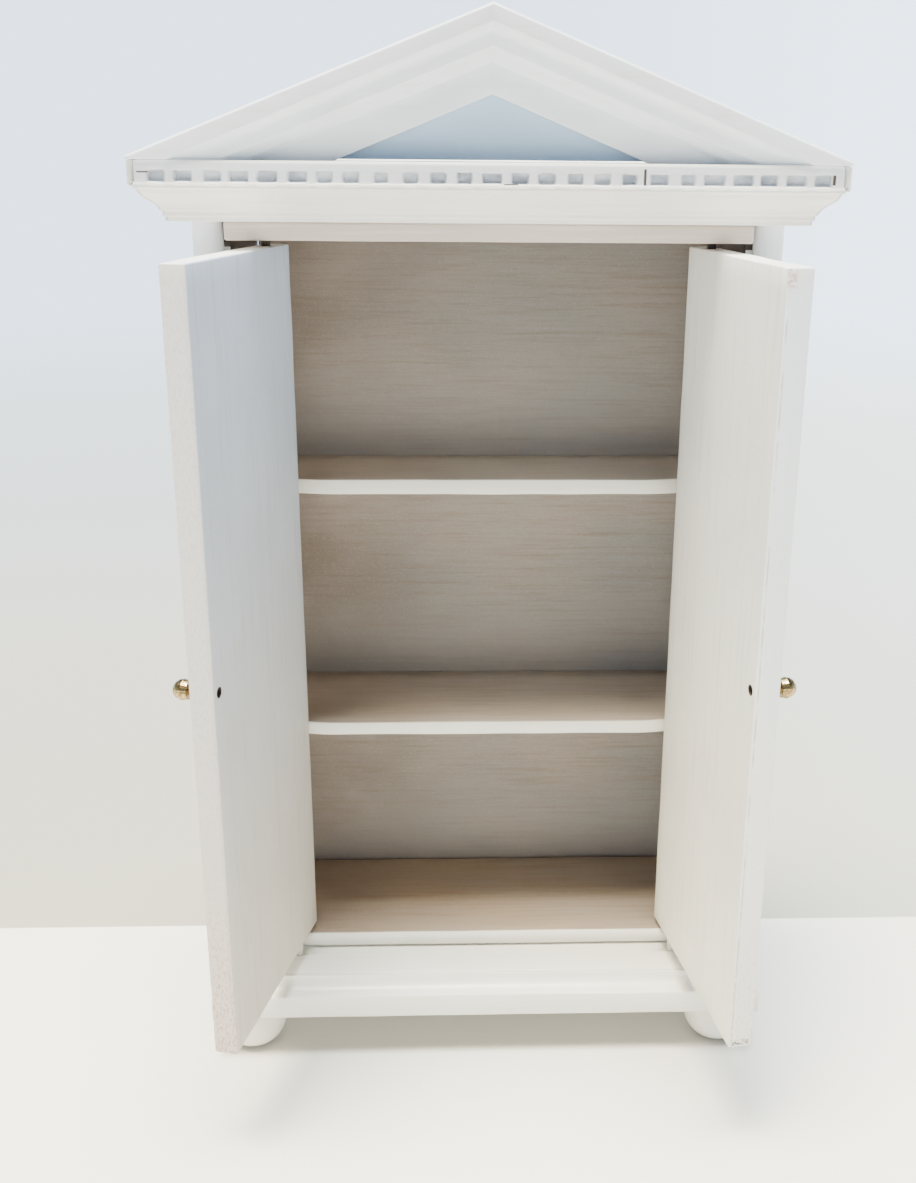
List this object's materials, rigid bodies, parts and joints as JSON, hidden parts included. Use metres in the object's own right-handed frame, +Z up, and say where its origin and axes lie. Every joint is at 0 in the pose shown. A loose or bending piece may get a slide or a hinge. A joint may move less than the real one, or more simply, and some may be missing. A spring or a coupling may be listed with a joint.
{
  "type": "miniature wardrobe",
  "caption": "Dolls'-house wardrobe in white-painted wood: triangular pediment over a dentil cornice, doors pivoting on pins, open shelves inside, bun feet and brass knobs.",
  "frame": {"origin": "on the ground, middle of the width, halfway between the back of the cabinet and the front reach of the open doors (bottom centre of the bounding box)", "axes": "+Z up, -Y out of the front (the doors open towards -Y), +X to the right of a person facing the front"},
  "size_m": [0.1194, 0.0748, 0.2002],
  "materials": {
    "white_paint": "thin satin white paint on wood, grain and saw marks showing through",
    "washed_wood": "thin white wash on brownish wood, matt",
    "knob_brass": "polished",
    "pin_steel": "dull dark wire"
  },
  "bodies": {
    "cabinet": {"left_side_panel": "white_paint", "right_side_panel": "white_paint", "top_board": "white_paint", "lintel_rail": "white_paint", "left_column": "white_paint", "right_column": "white_paint", "crown_moulding_front": "white_paint", "crown_moulding_left": "white_paint", "crown_moulding_right": "white_paint", "dentil_strip_front": "white_paint", "dentil_strip_left": "white_paint", "dentil_strip_right": "white_paint", "cornice_board": "white_paint", "pediment_board": "white_paint", "left_raking_cornice": "white_paint", "right_raking_cornice": "white_paint", "base_board": "white_paint", "base_moulding_front": "white_paint", "base_moulding_left": "white_paint", "base_moulding_right": "white_paint", "front_left_foot": "white_paint", "front_right_foot": "white_paint", "rear_left_foot": "white_paint", "rear_right_foot": "white_paint", "back_panel": "washed_wood", "floor_board": "washed_wood", "upper_shelf": "washed_wood", "lower_shelf": "washed_wood", "left_upper_hinge_pin": "pin_steel", "left_lower_hinge_pin": "pin_steel", "right_upper_hinge_pin": "pin_steel", "right_lower_hinge_pin": "pin_steel"},
    "left_door": {"left_door": "white_paint", "left_knob": "knob_brass"},
    "right_door": {"right_door": "white_paint", "right_knob": "knob_brass"}
  },
  "joints": [
    {"name": "left_door_hinge", "type": "hinge", "parent": "cabinet", "child": "left_door", "pos_m": [-0.03939, 0.00153, 0.0916], "axis": [0, 0, -1], "range_deg": [-103.1, 31.9]},
    {"name": "right_door_hinge", "type": "hinge", "parent": "cabinet", "child": "right_door", "pos_m": [0.03939, 0.00153, 0.0916], "axis": [0, 0, 1], "range_deg": [-99.5, 35.5]}
  ]
}
